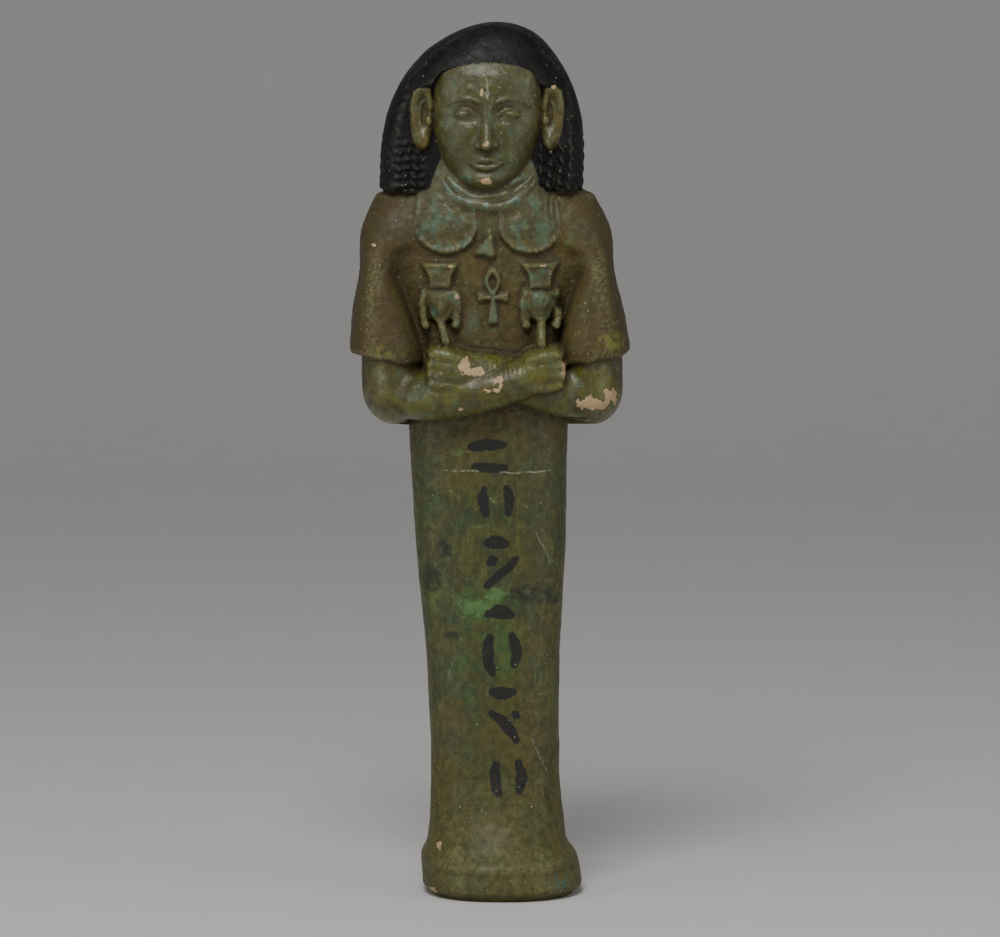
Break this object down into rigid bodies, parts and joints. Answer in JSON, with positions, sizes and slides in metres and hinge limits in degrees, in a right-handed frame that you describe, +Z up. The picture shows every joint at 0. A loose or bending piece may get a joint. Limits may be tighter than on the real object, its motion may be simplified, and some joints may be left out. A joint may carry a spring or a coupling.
{
  "type": "ushabti figurine",
  "caption": "Mummy-shaped funerary figurine with a bobbed wig and crossed arms holding sistra, moulded in one solid piece that stands on its own flat sole.",
  "frame": {"origin": "on the flat sole, on the ground, under the middle of the body", "axes": "+Z up along the figure, the face looks along -Y, +X to the right of someone looking at the face"},
  "size_m": [0.071, 0.0409, 0.2198],
  "materials": {
    "worn_green_ceramic": "satin"
  },
  "bodies": {
    "root": {"ushabti_figurine": "worn_green_ceramic"}
  },
  "joints": []
}
